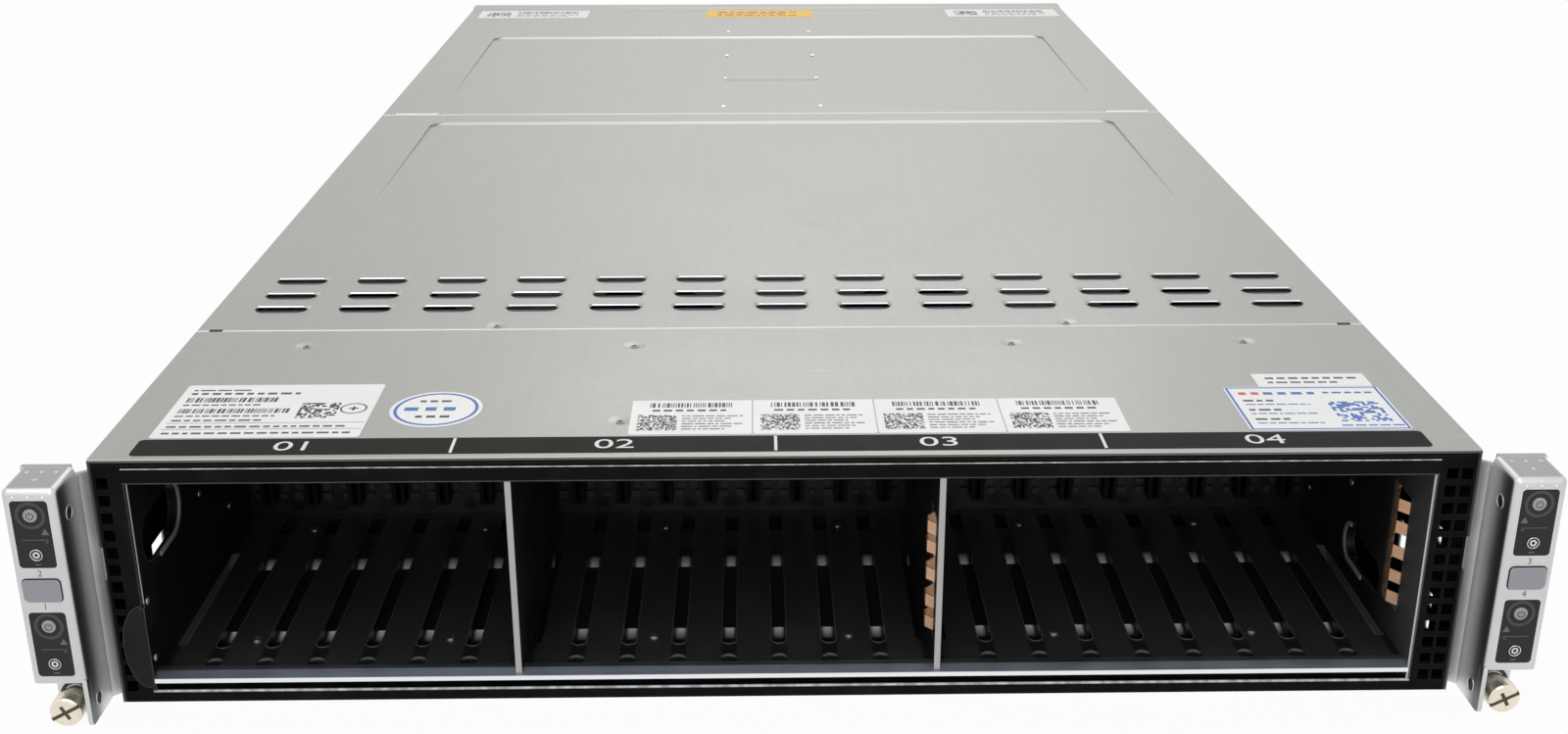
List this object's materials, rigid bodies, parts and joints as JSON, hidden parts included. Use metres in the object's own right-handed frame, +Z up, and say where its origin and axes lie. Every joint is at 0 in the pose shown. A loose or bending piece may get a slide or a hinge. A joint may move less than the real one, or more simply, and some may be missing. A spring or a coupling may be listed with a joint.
{
  "type": "multi-node rack server",
  "caption": "Flat rack-mount server chassis with an open three-bay drive cage in front, control ears with buttons and thumbscrews, louvred covers, and pull-out node sleds and power supplies.",
  "frame": {"origin": "on the underside, on the centre line, at the rack plane where the rear faces of the ears meet the rack posts", "axes": "+X to the right seen from the front, +Y to the rear along the depth, +Z up"},
  "size_m": [0.4826, 0.8755, 0.0887],
  "materials": {
    "zinc_steel": "satin zinc-coated sheet, faint grain",
    "black_steel": "satin black powder coat",
    "bare_steel": "bare brushed edge",
    "ear_silver": "fine blasted silver",
    "copper": "bare copper alloy",
    "board_green": "solder mask",
    "black_plastic": "moulded black",
    "panel_black": "smoked panel film",
    "button_grey": "moulded grey cap",
    "plate_grey": "plain plate",
    "screw_nickel": "pale plated brass",
    "sink_metal": "extruded fins",
    "label_paper": "matt printed label"
  },
  "bodies": {
    "chassis": {"chassis_base": "zinc_steel", "front_top_panel": "zinc_steel", "rear_cover": "zinc_steel", "front_frame": "black_steel", "cage_floor": "black_steel", "cage_roof": "black_steel", "cage_left_wall": "black_steel", "cage_right_wall": "black_steel", "bay_divider_left": "black_steel", "bay_divider_right": "black_steel", "front_sill": "bare_steel", "emi_fingers": "copper", "backplane": "board_green", "backplane_connectors": "black_plastic", "fan_cage": "zinc_steel", "fan_frames": "black_plastic", "midplane": "board_green", "psu_bay": "zinc_steel", "node_shelves": "zinc_steel", "power_board": "board_green", "left_ear": "ear_silver", "right_ear": "ear_silver", "ear_backs": "black_plastic", "name_plates": "plate_grey", "control_panels": "panel_black"},
    "cover": {"middle_cover": "zinc_steel"},
    "rotor_1": {"fan_rotor_1": "black_plastic"},
    "rotor_2": {"fan_rotor_2": "black_plastic"},
    "rotor_3": {"fan_rotor_3": "black_plastic"},
    "rotor_4": {"fan_rotor_4": "black_plastic"},
    "power_button_1": {"power_button_1": "button_grey"},
    "uid_button_1": {"uid_button_1": "button_grey"},
    "power_button_2": {"power_button_2": "button_grey"},
    "uid_button_2": {"uid_button_2": "button_grey"},
    "power_button_3": {"power_button_3": "button_grey"},
    "uid_button_3": {"uid_button_3": "button_grey"},
    "power_button_4": {"power_button_4": "button_grey"},
    "uid_button_4": {"uid_button_4": "button_grey"},
    "left_thumbscrew": {"left_thumbscrew": "screw_nickel"},
    "right_thumbscrew": {"right_thumbscrew": "screw_nickel"},
    "sled_1": {"sled_tray_1": "zinc_steel", "sled_board_1": "board_green", "sled_heatsinks_1": "sink_metal"},
    "sled_latch_1": {"sled_latch_1": "black_plastic"},
    "sled_2": {"sled_tray_2": "zinc_steel", "sled_board_2": "board_green", "sled_heatsinks_2": "sink_metal"},
    "sled_latch_2": {"sled_latch_2": "black_plastic"},
    "sled_3": {"sled_tray_3": "zinc_steel", "sled_board_3": "board_green", "sled_heatsinks_3": "sink_metal"},
    "sled_latch_3": {"sled_latch_3": "black_plastic"},
    "sled_4": {"sled_tray_4": "zinc_steel", "sled_board_4": "board_green", "sled_heatsinks_4": "sink_metal"},
    "sled_latch_4": {"sled_latch_4": "black_plastic"},
    "psu_1": {"psu_1": "zinc_steel"},
    "psu_latch_1": {"psu_latch_1": "black_plastic"},
    "psu_2": {"psu_2": "zinc_steel"},
    "psu_latch_2": {"psu_latch_2": "black_plastic"}
  },
  "joints": [
    {"name": "cover_lift", "type": "slide", "parent": "chassis", "child": "cover", "axis": [0, 0, 1], "range_m": [0, 0.12]},
    {"name": "fan_1_spin", "type": "hinge", "parent": "chassis", "child": "rotor_1", "pos_m": [-0.16305, 0.232, 0.042], "axis": [0, 1, 0], "continuous": true},
    {"name": "fan_2_spin", "type": "hinge", "parent": "chassis", "child": "rotor_2", "pos_m": [-0.05435, 0.232, 0.042], "axis": [0, 1, 0], "continuous": true},
    {"name": "fan_3_spin", "type": "hinge", "parent": "chassis", "child": "rotor_3", "pos_m": [0.05435, 0.232, 0.042], "axis": [0, 1, 0], "continuous": true},
    {"name": "fan_4_spin", "type": "hinge", "parent": "chassis", "child": "rotor_4", "pos_m": [0.16305, 0.232, 0.042], "axis": [0, 1, 0], "continuous": true},
    {"name": "power_button_1_press", "type": "slide", "parent": "chassis", "child": "power_button_1", "axis": [0, 1, 0], "range_m": [0, 0.001], "stiffness_N_per_m": 900},
    {"name": "uid_button_1_press", "type": "slide", "parent": "chassis", "child": "uid_button_1", "axis": [0, 1, 0], "range_m": [0, 0.0008], "stiffness_N_per_m": 900},
    {"name": "power_button_2_press", "type": "slide", "parent": "chassis", "child": "power_button_2", "axis": [0, 1, 0], "range_m": [0, 0.001], "stiffness_N_per_m": 900},
    {"name": "uid_button_2_press", "type": "slide", "parent": "chassis", "child": "uid_button_2", "axis": [0, 1, 0], "range_m": [0, 0.0008], "stiffness_N_per_m": 900},
    {"name": "power_button_3_press", "type": "slide", "parent": "chassis", "child": "power_button_3", "axis": [0, 1, 0], "range_m": [0, 0.001], "stiffness_N_per_m": 900},
    {"name": "uid_button_3_press", "type": "slide", "parent": "chassis", "child": "uid_button_3", "axis": [0, 1, 0], "range_m": [0, 0.0008], "stiffness_N_per_m": 900},
    {"name": "power_button_4_press", "type": "slide", "parent": "chassis", "child": "power_button_4", "axis": [0, 1, 0], "range_m": [0, 0.001], "stiffness_N_per_m": 900},
    {"name": "uid_button_4_press", "type": "slide", "parent": "chassis", "child": "uid_button_4", "axis": [0, 1, 0], "range_m": [0, 0.0008], "stiffness_N_per_m": 900},
    {"name": "left_thumbscrew_turn", "type": "hinge", "parent": "chassis", "child": "left_thumbscrew", "pos_m": [-0.23255, 0, 0.00595], "axis": [0, 1, 0], "continuous": true},
    {"name": "right_thumbscrew_turn", "type": "hinge", "parent": "chassis", "child": "right_thumbscrew", "pos_m": [0.23255, 0, 0.00595], "axis": [0, 1, 0], "continuous": true},
    {"name": "sled_1_slide", "type": "slide", "parent": "chassis", "child": "sled_1", "axis": [0, 1, 0], "range_m": [0, 0.5]},
    {"name": "sled_latch_1_press", "type": "hinge", "parent": "sled_1", "child": "sled_latch_1", "pos_m": [-0.0882, 0.8365, 0.0219], "axis": [0, 0, -1], "range_deg": [0, 14], "stiffness_Nm_per_rad": 0.08},
    {"name": "sled_2_slide", "type": "slide", "parent": "chassis", "child": "sled_2", "axis": [0, 1, 0], "range_m": [0, 0.5]},
    {"name": "sled_latch_2_press", "type": "hinge", "parent": "sled_2", "child": "sled_latch_2", "pos_m": [-0.0882, 0.8365, 0.0647], "axis": [0, 0, -1], "range_deg": [0, 14], "stiffness_Nm_per_rad": 0.08},
    {"name": "sled_3_slide", "type": "slide", "parent": "chassis", "child": "sled_3", "axis": [0, 1, 0], "range_m": [0, 0.5]},
    {"name": "sled_latch_3_press", "type": "hinge", "parent": "sled_3", "child": "sled_latch_3", "pos_m": [0.1698, 0.8365, 0.0647], "axis": [0, 0, -1], "range_deg": [0, 14], "stiffness_Nm_per_rad": 0.08},
    {"name": "sled_4_slide", "type": "slide", "parent": "chassis", "child": "sled_4", "axis": [0, 1, 0], "range_m": [0, 0.5]},
    {"name": "sled_latch_4_press", "type": "hinge", "parent": "sled_4", "child": "sled_latch_4", "pos_m": [0.1698, 0.8365, 0.0219], "axis": [0, 0, -1], "range_deg": [0, 14], "stiffness_Nm_per_rad": 0.08},
    {"name": "psu_1_slide", "type": "slide", "parent": "chassis", "child": "psu_1", "axis": [0, 1, 0], "range_m": [0, 0.25]},
    {"name": "psu_latch_1_press", "type": "hinge", "parent": "psu_1", "child": "psu_latch_1", "pos_m": [-0.02925, 0.8365, 0.0219], "axis": [0, 0, -1], "range_deg": [0, 14], "stiffness_Nm_per_rad": 0.08},
    {"name": "psu_2_slide", "type": "slide", "parent": "chassis", "child": "psu_2", "axis": [0, 1, 0], "range_m": [0, 0.25]},
    {"name": "psu_latch_2_press", "type": "hinge", "parent": "psu_2", "child": "psu_latch_2", "pos_m": [-0.02925, 0.8365, 0.0647], "axis": [0, 0, -1], "range_deg": [0, 14], "stiffness_Nm_per_rad": 0.08}
  ]
}
